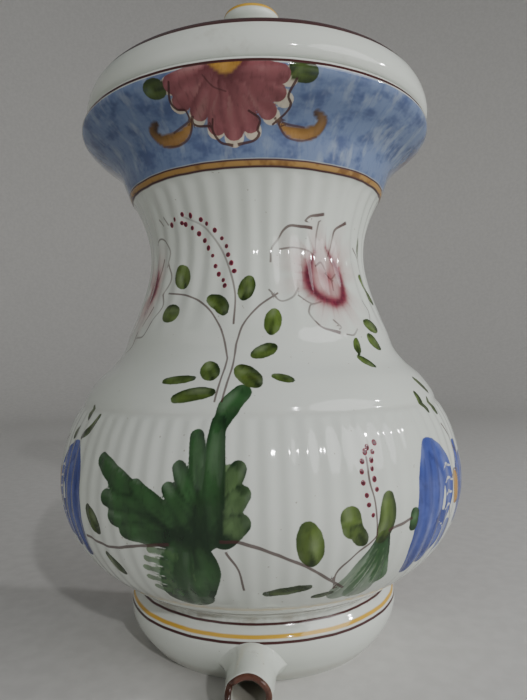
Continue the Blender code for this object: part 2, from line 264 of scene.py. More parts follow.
# A D-shaped ring, from the back's left corner round the front to its right corner and back.
# Every ring has the same columns, so rings loft into one skin. Columns are step apart within
# fineHalf degrees of the front middle, and about double that beyond it.
def dRing(radius, height, back, corner, step, backColumns, pressed=0.0):
    fineHalf = 64
    coarseStep = (90 - fineHalf) / round((90 - fineHalf) / 2 / step)
    sideArc = np.arange(fineHalf, 90, coarseStep)[1:]
    frontArc = np.linspace(-fineHalf, fineHalf, int(2 * (fineHalf / step)))
    arc = np.concatenate([[-90], -sideArc[::-1], frontArc, sideArc, [90]])
    depth = radius - (pressed(arc, height) if callable(pressed) else pressed)
    front = np.stack([depth * np.sin(np.radians(arc)), axisY - depth * np.cos(np.radians(arc))], 1)
    straight = back - corner - axisY
    side = np.array([(radius, axisY + straight * part) for part in (0.5, 1.0)])
    bend = np.array([(radius - corner * (1 - math.cos(turn)), back - corner * (1 - math.sin(turn)))
                     for turn in (math.pi / 6, math.pi / 3, math.pi / 2)])
    across = np.linspace(radius - corner, corner - radius, backColumns + 2)[1:-1]
    rear = np.stack([across, np.full(backColumns, back)], 1)
    mirrored = np.vstack([side, bend])[::-1] * (-1, 1)
    plan = np.vstack([front, side, bend, rear, mirrored])
    return np.column_stack([plan, np.full(len(plan), height)])


# a closed or capped skin through a list of equal rings, as one mesh object
def loft(name, rings, capStart=True, capEnd=True, closed=False):
    count = len(rings[0])
    corners = np.vstack(rings) * toMetres
    rows = len(rings) if closed else len(rings) - 1
    row = np.arange(rows)[:, None]
    col = np.arange(count)[None, :]
    after = (row + 1) % len(rings)
    beside = (col + 1) % count
    faces = np.stack([row * count + col, row * count + beside,
                      after * count + beside, after * count + col], -1).reshape(-1, 4).tolist()
    if capStart:
        faces.append(list(range(count))[::-1])
    if capEnd:
        faces.append([(len(rings) - 1) * count + i for i in range(count)])
    mesh = bpy.data.meshes.new(name)
    mesh.from_pydata(corners.tolist(), [], faces)
    bm = bmesh.new()
    bm.from_mesh(mesh)
    bmesh.ops.recalc_face_normals(bm, faces=bm.faces)
    bm.to_mesh(mesh)
    bm.free()
    mesh.shade_smooth()
    piece = bpy.data.objects.new(name, mesh)
    bpy.context.scene.collection.objects.link(piece)
    return piece


def vertexPlaces(piece):
    places = np.empty(len(piece.data.vertices) * 3)
    piece.data.vertices.foreach_get("co", places)
    return places.reshape(-1, 3) / toMetres


def keep(piece, name, values, kind="FLOAT", field="value"):
    layer = piece.data.attributes.new(name, kind, "POINT")
    layer.data.foreach_set(field, np.asarray(values, np.float32).ravel())


# one hole through a piece, with a throwaway cutter
def drill(piece, radius, depth, centre, name):
    mesh = bpy.data.meshes.new(name)
    bm = bmesh.new()
    turned = Matrix.Translation(Vector(centre) * toMetres) @ Matrix.Rotation(math.pi / 2, 4, "X")
    bmesh.ops.create_cone(bm, cap_ends=True, segments=40, radius1=radius * toMetres,
                          radius2=radius * toMetres, depth=depth * toMetres, matrix=turned)
    bm.to_mesh(mesh)
    bm.free()
    cutter = bpy.data.objects.new(name, mesh)
    bpy.context.scene.collection.objects.link(cutter)
    cut = piece.modifiers.new(name, "BOOLEAN")
    cut.object = cutter
    cut.solver = "MANIFOLD"
    depsgraph = bpy.context.evaluated_depsgraph_get()
    result = bpy.data.meshes.new_from_object(piece.evaluated_get(depsgraph))
    piece.modifiers.clear()
    piece.data = result
    bpy.data.objects.remove(cutter, do_unlink=True)


spoutPlan = {
    "middle": -2.2,             # luted on a little left of the middle
    "height": 14.5,
    "reach": 117.5,
    "tip": 11.8,
    "bore": 8.6,
    "tube": 13.2,
    "skirt": 8.0,               # how far the fillet runs out over the foot at its sides
    "skirtAbove": 1.6,          # and above and below, clear of the banding
    "tableGap": 0.3,
    "columns": 96,
    "lipRound": 1.6,            # how far the lip's edges fall back from its middle
}


def makeCistern():
    step, gap = cistern["turnStep"], cistern["rowGap"]
    backColumns = 22
    outer = evenly(section, gap)
    outer[-1, 1] = 0.0
    rim = section[0]
    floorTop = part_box("floor_plate")[1].z / toMetres
    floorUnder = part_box("floor_plate")[0].z / toMetres
    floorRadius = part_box("floor_plate")[1].x / toMetres

    def ring(radius, height, back=backPlane, corner=1.6, pressed=0.0):
        return dRing(radius, height, back, corner, step, backColumns, pressed)

    rings = [ring(radius, height, pressed=pressedAt) for radius, height in outer]
    # foot ring, shallow recess and the bare floor under it
    footRadius = outer[-1, 0]
    rings += [ring(footRadius - 1.5, 0.0, backPlane - 0.5),
              ring(floorRadius + 2.5, 0.0, slabFront + 2),
              ring(floorRadius + 1.0, 0.4, slabFront), ring(floorRadius, floorUnder, slabFront - 1)]
    skin = rings[::-1]
    # over the rim and down the inside
    wallUp = evenly(section[section[:, 1] > floorTop + 6], 9.0)
    thick = cistern["wall"] + (cistern["rimWall"] - cistern["wall"]) * fade(wallUp[:, 1], 312, 330)
    inner = [(radius - wall, height) for (radius, height), wall in zip(wallUp, thick)]
    rimInside = rim[0] - cistern["rimWall"]
    skin += [ring(rim[0] - 0.7, rim[1], backPlane - 0.6),
             ring(rim[0] - 3.0, rim[1], backPlane - 1.8),
             ring(rimInside + 2.0, rim[1], slabFront + 1.2, 1.0),
             ring(rimInside + 0.4, rim[1] - 0.6, slabFront + 0.2, 0.8)]
    skin += [ring(radius, height - (1.5 if i == 0 else 0), slabFront, 0.8)
             for i, (radius, height) in enumerate(inner)]
    skin += [ring(floorRadius + 1, floorTop + 1.5, slabFront, 0.8),
             ring(floorRadius - 3, floorTop, slabFront - 2, 0.8)]
    body = loft("cisternBody", skin)
    for way in (-1, 1):
        drill(body, cistern["holeRadius"], (backPlane - slabFront) * 4,
              (way * cistern["holeSpacing"] / 2, (slabFront + backPlane) / 2,
               cistern["holeHeight"]), "hangingHole")
    footFront = axisY - radiusAt(spoutPlan["height"])
    drill(body, spoutPlan["bore"], 30.0, (spoutPlan["middle"], footFront, spoutPlan["height"]),
          "spoutBore")
    body.data.shade_smooth()
    body.data.set_sharp_from_angle(angle=math.radians(42))
    print("cistern body", len(body.data.polygons), "faces")
    return body


paints = {
    "leafLight": (0.105, 0.165, 0.030),
    "leafDark": (0.020, 0.036, 0.009),
    "fernLight": (0.040, 0.120, 0.036),
    "fernPale": (0.110, 0.190, 0.070),
    "fernDark": (0.010, 0.030, 0.011),
    "blueLight": (0.060, 0.095, 0.36),
    "blueDark": (0.016, 0.026, 0.135),
    "rose": (0.29, 0.095, 0.105),
    "roseDark": (0.12, 0.028, 0.035),
    "crimson": (0.235, 0.026, 0.055),
    "wine": (0.085, 0.009, 0.024),
    "blush": (0.50, 0.27, 0.265),
    "cream": (0.60, 0.52, 0.40),
    "white": (0.66, 0.68, 0.64),
    "ochre": (0.36, 0.185, 0.035),
    "ochreDark": (0.060, 0.032, 0.018),
    "yellow": (0.44, 0.235, 0.045),
    "brown": (0.075, 0.022, 0.025),
}


# What the brush has left at each point of a skin. Strokes are laid in order, each over the last
# one of its coat; a later coat covers an earlier one with a clean edge.
class Brushwork:
    reach = 6.0         # how far past a stroke its colour is carried, so that edges stay clean
    coats = 3

    def __init__(self, angle, height, seed):
        self.angle = angle
        self.path = pathAt(height)
        self.radius = radiusAt(height)
        self.draw = np.random.default_rng(seed)
        count = len(angle)
        self.layers = [{"edge": np.full(count, -50.0), "alpha": np.zeros(count),
                        "colour": np.tile(np.array(paints["white"]), (count, 1))}
                       for _ in range(self.coats)]
        self.coat(0)
        self.lineSide = np.full(count, 50.0)
        self.lineNear = np.full(count, 50.0)
        self.lineStrength = np.zeros(count)
        self.strokes = 0

    def coat(self, index):      # the coat that the next strokes belong to
        self.layer = self.layers[index]

    # points of a run given as (angle, height), as (angle, path), less than a gap apart
    def run(self, points, gap=0.7):
        angle = np.array([point[0] for point in points], float)
        height = np.array([point[1] for point in points], float)
        perDegree = np.radians(1) * radiusAt(height).mean()
        flatRun = np.stack([angle * perDegree, pathAt(height)], 1)
        smooth = smoothRun(flatRun, gap)
        return np.stack([smooth[:, 0] / perDegree, smooth[:, 1]], 1)

    def near(self, run, margin):
        perDegree = np.radians(1) * self.radius
        low, high = run.min(0), run.max(0)
        return np.nonzero((self.path > low[1] - margin) & (self.path < high[1] + margin)
                          & (self.angle > low[0] - margin / perDegree)
                          & (self.angle < high[0] + margin / perDegree))[0]

    # offsets in the skin from each sample of a run to each of the chosen points
    def offsets(self, run, chosen):
        perDegree = np.radians(1) * self.radius[chosen]
        across = (self.angle[chosen][None, :] - run[:, 0][:, None]) * perDegree[None, :]
        down = self.path[chosen][None, :] - run[:, 1][:, None]
        return across, down

    # how far each chosen point lies to the right of a run, at its nearest or fullest sample
    def sideOf(self, run, chosen, across, down, best):
        perDegree = np.radians(1) * self.radius[chosen].mean()
        way = np.gradient(run * (perDegree, 1.0), axis=0)
        way /= np.maximum(np.linalg.norm(way, axis=1), 1e-6)[:, None]
        pick = (best, np.arange(len(chosen)))
        return across[pick] * way[best, 1] - down[pick] * way[best, 0]

    # A stroke goes from its light to its dark colour by: rim (both edges), lean (one edge),
    # vein (a line along its middle), along (its start and its end) and mottle (uneven colour).
    def stroke(self, points, width, light, dark, opacity=1.0, soft=0.0, rim=0.8, lean=0.0,
               vein=0.0, along=(0.0, 0.0), fadeOut=(1.0, 1.0), mottle=0.25):
        run = self.run(points)
        share = np.linspace(0, 1, len(run))
        widths = np.interp(share, np.linspace(0, 1, len(np.atleast_1d(width))), np.atleast_1d(width))
        chosen = self.near(run, widths.max() / 2 + self.reach)
        across, down = self.offsets(run, chosen)
        inside = widths[:, None] / 2 - np.hypot(across, down)
        best = inside.argmax(0)
        edge = inside[best, np.arange(len(chosen))]
        side = self.sideOf(run, chosen, across, down, best)
        lane = np.clip(side / np.maximum(widths[best] / 2, 0.3), -1.2, 1.2)
        u = share[best]
        self.strokes += 1
        phase = self.draw.uniform(0, 6.28, 3)
        grain = (np.sin(lane * 2.6 + phase[0] + 2 * u) + np.sin(side * 0.75 + phase[1] - 3 * u)
                 + np.sin(u * 7 + lane * 1.5 + phase[2])) / 3
        shade = (rim * fade(np.abs(lane), 0.35, 1.05) + lean * fade(lane, -0.4, 1.0)
                 + vein * np.exp(-(side / 1.3) ** 2) * fade(u, 0.15, 0.5)
                 + along[0] * (1 - u) ** 2 + along[1] * u ** 2 + mottle * grain
                 + 0.5 * rim * (fade(u, 0.92, 1.0) + fade(u, 0.08, 0.0)))
        shade = np.clip(shade, 0, 1)[:, None]
        colour = np.array(paints[light]) * (1 - shade) + np.array(paints[dark]) * shade
        alpha = opacity * (fadeOut[0] * (1 - u) + fadeOut[1] * u)
        alpha = np.clip(alpha * (1 + 0.35 * mottle * grain), 0, 1)
        if soft:
            alpha = alpha * fade(edge, 0, soft)
        self.lay(chosen, edge, colour, alpha)

    def lay(self, chosen, edge, colour, alpha):
        layer = self.layer
        before = layer["edge"][chosen]
        covered = edge > 0
        old = np.where(before > 0, layer["alpha"][chosen], 0.0)
        total = alpha + (1 - alpha) * old
        mixed = alpha[:, None] * colour + ((1 - alpha) * old)[:, None] * layer["colour"][chosen]
        mixed /= np.maximum(total, 1e-4)[:, None]
        outside = ~covered & (before < 0) & (edge > before)
        for mask, newColour, newAlpha in ((covered, mixed, total), (outside, colour, alpha)):
            layer["colour"][chosen[mask]] = newColour[mask]
            layer["alpha"][chosen[mask]] = newAlpha[mask]
        layer["edge"][chosen] = np.maximum(before, edge)

    # a thin drawn line; the shader keeps it sharp from its signed distance
    def line(self, points, strength=1.0, endStrength=None, width=1.0, endWidth=None):
        run = self.run(points, 0.5)
        chosen = self.near(run, 6.0)
        across, down = self.offsets(run, chosen)
        distance = np.hypot(across, down)
        best = distance.argmin(0)
        nearest = distance[best, np.arange(len(chosen))]
        u = best / len(run)
        thick = width + ((width if endWidth is None else endWidth) - width) * u
        closer = nearest / thick < self.lineNear[chosen]
        where = chosen[closer]
        side = self.sideOf(run, chosen, across, down, best)
        self.lineNear[where] = (nearest / thick)[closer]
        self.lineSide[where] = (side / thick)[closer]
        last = strength if endStrength is None else endStrength
        self.lineStrength[where] = (strength + (last - strength) * u)[closer]

    def keepOn(self, piece):
        keep(piece, "lineSide", self.lineSide)
        keep(piece, "lineNear", self.lineNear)
        keep(piece, "lineStrength", self.lineStrength)
        for index, layer in enumerate(self.layers):
            keep(piece, "paintEdge%d" % index, layer["edge"])
            keep(piece, "paint%d" % index, np.column_stack([layer["colour"], layer["alpha"]]),
                 "FLOAT_COLOR", "color")


berryRows = {
    "neckUpper": [(-41, 264.5), (-38, 267), (-33, 269), (-28, 267), (-23, 264), (-20, 261),
                  (-16.5, 257), (-13, 252), (-11, 247), (-10, 242), (-8.6, 237), (-7, 232)],
    "neckLower": [(-34, 264), (-32, 263), (-28, 260), (-24.5, 256), (-22, 252), (-20, 247),
                  (-17.6, 242), (-15.7, 236), (-14, 231), (-12, 227), (-11, 224)],
    "bulbRight": [(30, 138), (29, 134), (28.3, 130), (28.3, 126), (28.4, 121), (28.8, 116)],
    "bulbLeft": [(27.7, 136), (26.7, 134), (25.7, 130), (25.5, 125), (25.4, 120), (25.9, 114),
                 (26.4, 109), (27.2, 104)],
}


def leaf(brush, points, width, tone=0.0, lean=0.35):
    brush.stroke(points, [width * part for part in (0.72, 1.0, 1.05, 0.98, 0.62)], "leafLight",
                 "leafDark", rim=0.55, lean=lean, vein=0.45, along=(0.1 + tone, 0.3 + tone),
                 mottle=0.3)


def fernLobe(brush, base, tip, width, light="fernLight", tone=0.25):
    middle = ((base[0] + tip[0]) / 2, (base[1] + tip[1]) / 2)
    brush.stroke([base, middle, tip], [width * 1.5, width * 1.25, width * 0.95], light,
                 "fernDark", rim=0.5, along=(0.75, tone), mottle=0.3)


# berries are single thick dabs of enamel, so they are shapes of their own
def makeBerries(rows, radius, seed):
    draw = np.random.default_rng(seed)
    bm = bmesh.new()
    rise = []
    corners = 16
    turns = np.radians(np.arange(corners) * 360 / corners)
    for angle, height in [berry for row in rows for berry in row]:
        angle += draw.uniform(-0.2, 0.2)
        height += draw.uniform(-0.3, 0.3)
        size = radius * draw.uniform(0.8, 1.15)
        long = draw.uniform(0.95, 1.25)
        loops = []
        for share, lift in ((1.0, -0.25), (1.0, 0.02), (0.8, 0.13), (0.45, 0.19)):
            loop = []
            for turn in turns:
                step = size * share * math.cos(turn) / (math.radians(1) * radiusAt(height))
                level = height + size * share * long * math.sin(turn)
                loop.append(bm.verts.new(skinPoint(angle + step, level, lift) * toMetres))
                rise.append(1 - share)
            loops.append(loop)
        for low, high in zip(loops, loops[1:]):
            for i in range(corners):
                bm.faces.new((low[i], low[(i + 1) % corners], high[(i + 1) % corners], high[i]))
        bm.faces.new(loops[0][::-1])
        bm.faces.new(loops[-1])
    mesh = bpy.data.meshes.new("berryDabs")
    bmesh.ops.recalc_face_normals(bm, faces=bm.faces)
    bm.to_mesh(mesh)
    bm.free()
    mesh.shade_smooth()
    piece = bpy.data.objects.new("berryDabs", mesh)
    bpy.context.scene.collection.objects.link(piece)
    keep(piece, "rise", rise)
    return piece


# the large flower that hangs from the rim, between two gold scrolls
def paintBand(brush):
    heart = (-4, 331)
    tips = [(-20, 325, 11, 0.94), (-19.5, 318, 11, 0.93), (-15.5, 312.5, 10.5, 0.89),
            (-10, 307, 11, 0.93), (-4, 303, 12, 0.88), (2.5, 305.5, 10.5, 0.88),
            (8.5, 311.5, 10.5, 0.9), (12, 317.5, 10.5, 0.85), (12.5, 325, 11, 0.85)]
    brush.coat(0)
    for angle, height, width, _ in tips:
        brush.stroke([heart, (angle, height)], [6, width * 0.9], "cream", "white", rim=0.2,
                     mottle=0.3)
    brush.coat(1)
    for angle, height, width, reach in tips:
        tip = (heart[0] + (angle - heart[0]) * reach, heart[1] + (height - heart[1]) * reach)
        brush.stroke([heart, tip], [9, width * 0.95], "rose", "roseDark", rim=0.3,
                     along=(0.75, 0.05), mottle=0.35)
    brush.coat(2)
    brush.stroke([(-9.5, 332), (-4, 326.2), (1.5, 332)], [5, 8, 5], "roseDark", "brown", rim=0.2,
                 soft=2.5, opacity=0.8)
    brush.stroke([(-7.5, 332), (-4, 328.8), (-0.5, 332)], [5, 8, 5], "yellow", "ochreDark",
                 rim=0.45, mottle=0.3, soft=1.0)
    for run in ([(-19.8, 326), (-21.6, 320), (-20.8, 317), (-19, 316.4)],
                [(-18, 315), (-17.6, 311.6), (-15.8, 309.6), (-12, 309)],
                [(-10.5, 311), (-11.2, 306.6), (-9, 301.2), (-5.5, 299.4)],
                [(1.6, 313.4), (4.8, 310.4), (4, 306.2), (4.6, 304), (2.6, 301), (-2, 299.6)],
                [(9.4, 308.8), (12.6, 312.6), (14, 316), (12.8, 319), (14.2, 324)]):
        brush.line(run, width=1.0, endWidth=1.3)
    brush.line([(-10, 326.5), (-8, 322.5), (-5, 320.6)], 0.6, width=0.8)
    for way, run in ((-1, [(-16.8, 313), (-20, 309), (-25, 306), (-31, 307), (-33.4, 311.4),
                           (-30.6, 314)]),
                     (1, [(10, 310.5), (13.8, 306.6), (19.4, 305), (24.4, 307.4), (25.6, 311.8),
                          (22.8, 314.2)])):
        brush.coat(0)
        brush.stroke(run, [2.2, 6.0, 9.0, 9.0, 7.5, 5.5], "ochre", "ochreDark", rim=0.2,
                     along=(0.2, 1.0), mottle=0.3, soft=1.4)
        brush.line([run[0], *[(angle, height - 3.2) for angle, height in run[1:4]]], 0.9, 0.6)
        brush.line([run[0], (run[1][0], run[1][1] + 2.2), (run[2][0], run[2][1] + 3.0)], 0.8)
    leaf(brush, [(-26.2, 325.5), (-22.8, 325)], 11, 0.5)
    leaf(brush, [(13.8, 328), (18.2, 327.2)], 11.5, 0.45)


def paintNeck(brush):
    brush.coat(1)
    brush.line([(-32, 267), (-22, 260), (-15, 249), (-9.6, 235), (-6.3, 219), (-6, 202)], 0.35, 0.9)
    brush.line([(-50, 269), (-48, 266)], 0.6)
    brush.line([(-45, 269), (-43.5, 265.5)], 0.6)
    for points, width, lean in (([(-34.8, 235), (-31.2, 227)], 11.5, -0.5),
                                ([(-37, 209.5), (-33.2, 208.8)], 11.5, 0.5),
                                ([(-16, 216), (-12.2, 213), (-10.2, 208.5)], 9, 0.5),
                                ([(-0.6, 226), (-2.6, 217)], 9.5, 0.4),
                                ([(9.2, 206.5), (7.6, 197)], 9.5, -0.4),
                                ([(2, 183.8), (8, 187.6)], 8.4, 0.5),
                                ([(-12.6, 178), (-10.6, 172.6)], 10.5, 0.4),
                                ([(-24.6, 170.6), (-16, 171.8)], 6, 0.4),
                                ([(-2.2, 176), (2.2, 169.2)], 11.5, 0.5),
                                ([(7.4, 172.4), (12, 170.2)], 5.6, 0.4),
                                ([(-19.2, 161.8), (-14, 164), (-9.6, 164.8)], 8, 0.5)):
        leaf(brush, points, width, lean=lean)
    for points in ([(-40, 222), (-27.6, 219), (-18, 212), (-12, 202), (-9.4, 194), (-7.1, 182)],
                   [(10.7, 218), (3.4, 211), (-2.3, 201), (-4.7, 190)],
                   [(-7.1, 182), (-7.6, 172), (-8.3, 161)], [(-4.7, 190), (-5.2, 175), (-6.4, 161)]):
        brush.line(points, 0.85)
    for points, width in (([(66, 257), (64.8, 246)], 6), ([(62.5, 232), (66, 224), (70, 217)], 7),
                          ([(51.5, 201.5), (58, 199)], 8.6), ([(50.5, 193), (54.6, 187.5)], 8.2),
                          ([(41.8, 191), (40.2, 184.5)], 5.6), ([(39.2, 181), (43, 176.5)], 6)):
        leaf(brush, points, width)


# a pale flower: soft petals, a dark ring round a bare heart, then drawn edges
def paintBloom(brush, heart, tips, rings, outlines, commas):
    brush.coat(0)
    for angle, height, width in tips:
        middle = ((heart[0] + angle) / 2, (heart[1] + height) / 2)
        brush.stroke([heart, middle, (angle, height)], [width * 0.5, width, width * 1.05], "blush",
                     "rose", opacity=0.85, soft=width * 0.35, rim=0.0, along=(0.9, -0.2),
                     fadeOut=(1.0, 0.12), mottle=0.35)
    for run, widths in rings:
        run = smoothRun(run, 2.0)
        for spread, colour, opacity in ((1.7, "rose", 0.5), (1.0, "crimson", 0.8),
                                        (0.55, "wine", 0.85)):
            brush.coat(0 if spread > 1 else 1)
            brush.stroke(run, [width * spread for width in widths], colour, "wine",
                         opacity=opacity, soft=max(widths) * spread * 0.42, rim=0.0, mottle=0.5)
        for angle, height in run[::2]:      # colour dragged out into the petals
            way = np.array((angle - heart[0], height - heart[1]))
            far = np.array(heart) + way * brush.draw.uniform(1.7, 2.3)
            brush.coat(2)
            brush.stroke([(angle, height), tuple(far)], [2.6, 1.4], "crimson", "rose", opacity=0.5,
                         soft=1.2, rim=0.0, fadeOut=(1.0, 0.0), mottle=0.5)
    for run in outlines:
        brush.line(run, 0.75, 0.45)
    for run in commas:
        brush.line(run, 0.8, 1.0, width=0.8, endWidth=1.9)


def paintBlooms(brush):
    paintBloom(
        brush, (36.5, 229),
        [(31, 262, 16), (47, 259, 15), (16, 250, 17), (13, 238, 16), (14, 222, 15), (24, 213, 14),
         (27, 202, 13), (36, 199, 15), (46, 201, 15), (52, 213, 14), (58, 236, 15), (54, 250, 14)],
        [([(31, 244), (27.6, 237), (25.8, 229), (26.6, 221.5), (30.5, 216.5), (36.5, 213.5)],
          [6, 9.5, 12, 13, 12.5, 9]),
         ([(36.5, 213.5), (41.6, 216), (43.6, 224), (43.4, 233), (40.6, 241), (37, 247)],
          [10, 10, 8, 7, 7, 5])],
        [[(9, 238), (9.6, 245), (13, 251)], [(33, 262), (32, 254), (31.4, 246)],
         [(24, 211), (23, 207), (24.3, 203)], [(38, 194.6), (41.2, 194.4), (43.8, 197.5)],
         [(8, 220), (12, 214), (17, 216), (20, 221)], [(20, 217), (25, 212.5), (29, 213.5)],
         [(60, 250), (63, 244), (64, 234)], [(14, 245), (21, 246), (27, 244.5), (30.5, 242)],
         [(57, 216), (59, 210), (56, 204)], [(35, 231), (37.5, 228), (41, 231)],
         [(38, 228), (37.5, 222)], [(38.5, 243), (40.6, 248), (41.8, 253.7)],
         [(31, 236), (33.5, 238), (35, 234)], [(33.4, 202.4), (35.4, 199.5)]],
        [[(13, 251), (15.4, 256), (19, 258.6), (28, 258.2)],
         [(25.4, 261.6), (28, 264.6), (33.6, 266.2)],
         [(41.8, 253.7), (43.4, 259.4), (49.5, 263.6)], [(24.3, 203), (27.4, 198.4), (33.4, 196)]])
    paintBloom(
        brush, (-58, 226),
        [(-52, 250, 15), (-47, 238, 14), (-46, 222, 14), (-50, 206, 14), (-56, 197, 14),
         (-66, 200, 14), (-66, 244, 14)],
        [([(-57, 242), (-53.5, 233), (-53.5, 222), (-57.5, 212)], [4, 6, 6, 4])],
        [[(-57, 256), (-51, 258), (-44, 250), (-45, 240)], [(-44, 240), (-41, 231), (-44, 222)],
         [(-44, 222), (-42, 214), (-46, 206)], [(-46, 206), (-49, 197), (-55, 196)],
         [(-56, 199), (-58, 191), (-63, 187)], [(-50, 244), (-52, 232)], [(-50, 214), (-53, 204)]],
        [])


def paintFern(brush):
    brush.coat(0)
    brush.stroke([(-1.4, 164.5), (-4.4, 158), (-6.4, 149)], [10, 11.5, 8.5], "fernLight",
                 "fernDark", rim=0.4, along=(0.25, 0.7), mottle=0.3)
    # right lobes, the palest, over their own wash
    brush.stroke([(-3.6, 128), (-3.2, 114), (-3.4, 101)], [7, 11, 12], "fernPale", "fernLight",
                 rim=0.2, mottle=0.4)
    for base, tip, width in (((-5.5, 114), (-1.7, 129), 9), ((-4.8, 108), (-0.9, 117.5), 9.5),
                             ((-5, 99), (-1.2, 104), 10.5)):
        fernLobe(brush, base, tip, width, "fernPale", 0.45)
    # the large left leaf
    brush.stroke([(-32, 121), (-26, 110), (-20, 103), (-13.5, 98)], [11, 19, 22, 18], "fernLight",
                 "fernDark", rim=0.1, along=(0.1, 0.7), mottle=0.35)
    for base, tip, width in (((-25, 113), (-37, 129.5), 9.6), ((-22, 106), (-34, 111.5), 10),
                             ((-21, 100), (-32, 102.5), 9.5), ((-18, 97), (-28.5, 96), 9.5),
                             ((-15, 103), (-25.4, 119), 8.5)):
        fernLobe(brush, base, tip, width, tone=0.15)
    # the middle lobes and the stem between them
    brush.stroke([(-12, 125), (-11.2, 112), (-10.4, 98)], [9, 19, 20], "fernLight", "fernDark",
                 rim=0.1, along=(0.2, 0.9), mottle=0.35)
    for base, tip, width in (((-9.5, 114), (-11.4, 144), 8), ((-11, 110), (-14.8, 129), 8.5),
                             ((-12, 104), (-17, 119), 8)):
        fernLobe(brush, base, tip, width)
    brush.stroke([(-6.7, 151), (-6.9, 138), (-7.2, 118), (-8.4, 98)], [7.5, 11, 13, 15],
                 "fernLight", "fernDark", rim=0.4, along=(0.5, 0.8), mottle=0.3)
    # the lower leaf, with its scalloped left side
    brush.stroke([(-12.5, 94), (-14.2, 82), (-16, 64)], [12, 28, 28], "fernLight", "fernDark",
                 rim=0.35, along=(0.9, 0.5), mottle=0.35)
    brush.stroke([(-10, 92), (-9.2, 80), (-11.5, 67)], [8, 14, 14], "fernLight", "fernDark",
                 rim=0.35, along=(0.8, 0.3), mottle=0.35)
    for angle, height in ((-21, 88), (-22.6, 82.5), (-23.6, 77), (-23.8, 71), (-23, 65)):
        brush.stroke([(angle + 4, height - 2.5), (angle - 1.4, height + 0.4)], [6.5, 4.2],
                     "fernLight", "fernPale", rim=0.3, opacity=0.8, along=(0.0, 0.5), mottle=0.3)
    # veins and gaps
    brush.coat(1)
    for run, width, opacity in (([(-13, 97), (-22, 104), (-31, 112)], 3.4, 0.7),
                                ([(-13, 96), (-22, 99), (-29, 102)], 3.0, 0.6),
                                ([(-13, 98), (-18, 106), (-25, 115)], 3.0, 0.65),
                                ([(-9, 96), (-12.5, 108), (-15.8, 116)], 3.6, 0.75),
                                ([(-9, 98), (-11.5, 114), (-13.8, 125)], 3.0, 0.7),
                                ([(-8.6, 100), (-10.4, 122), (-11.2, 138)], 2.6, 0.6),
                                ([(-8.6, 100), (-9, 124), (-8.9, 138)], 3.0, 0.6),
                                ([(-8, 98), (-5, 108), (-3, 117)], 3.4, 0.75),
                                ([(-8, 97), (-4.4, 103), (-2.4, 108)], 2.6, 0.6),
                                ([(-13, 93), (-9.5, 94.5)], 9.0, 0.8),
                                ([(-16, 87), (-17, 78), (-17.5, 68)], 2.4, 0.55),
                                ([(-12.5, 90), (-13, 77), (-14.5, 64)], 2.6, 0.6)):
        brush.stroke(run, [width, width, width * 0.5], "fernDark", "fernDark", opacity=opacity,
                     soft=width * 0.45, rim=0.0, fadeOut=(1.0, 0.35), mottle=0.3)
    for angle, height in ((-21, 84.5), (-22.4, 79), (-23.2, 73.5), (-23.2, 67.5)):
        brush.stroke([(angle + 2.8, height - 0.5), (angle, height + 1.4), (angle - 2.8, height + 0.6)],
                     [0.8, 2.0, 1.6], "white", "white", rim=0.0, opacity=0.85, mottle=0.0)
    for angle in (-17.6, -15.4, -12):
        brush.stroke([(angle, 84), (angle - 0.6, 74), (angle + 0.2, 66)], [0.6, 1.1, 0.6], "fernPale",
                     "fernPale", rim=0.0, opacity=0.4, soft=0.5, mottle=0.2)


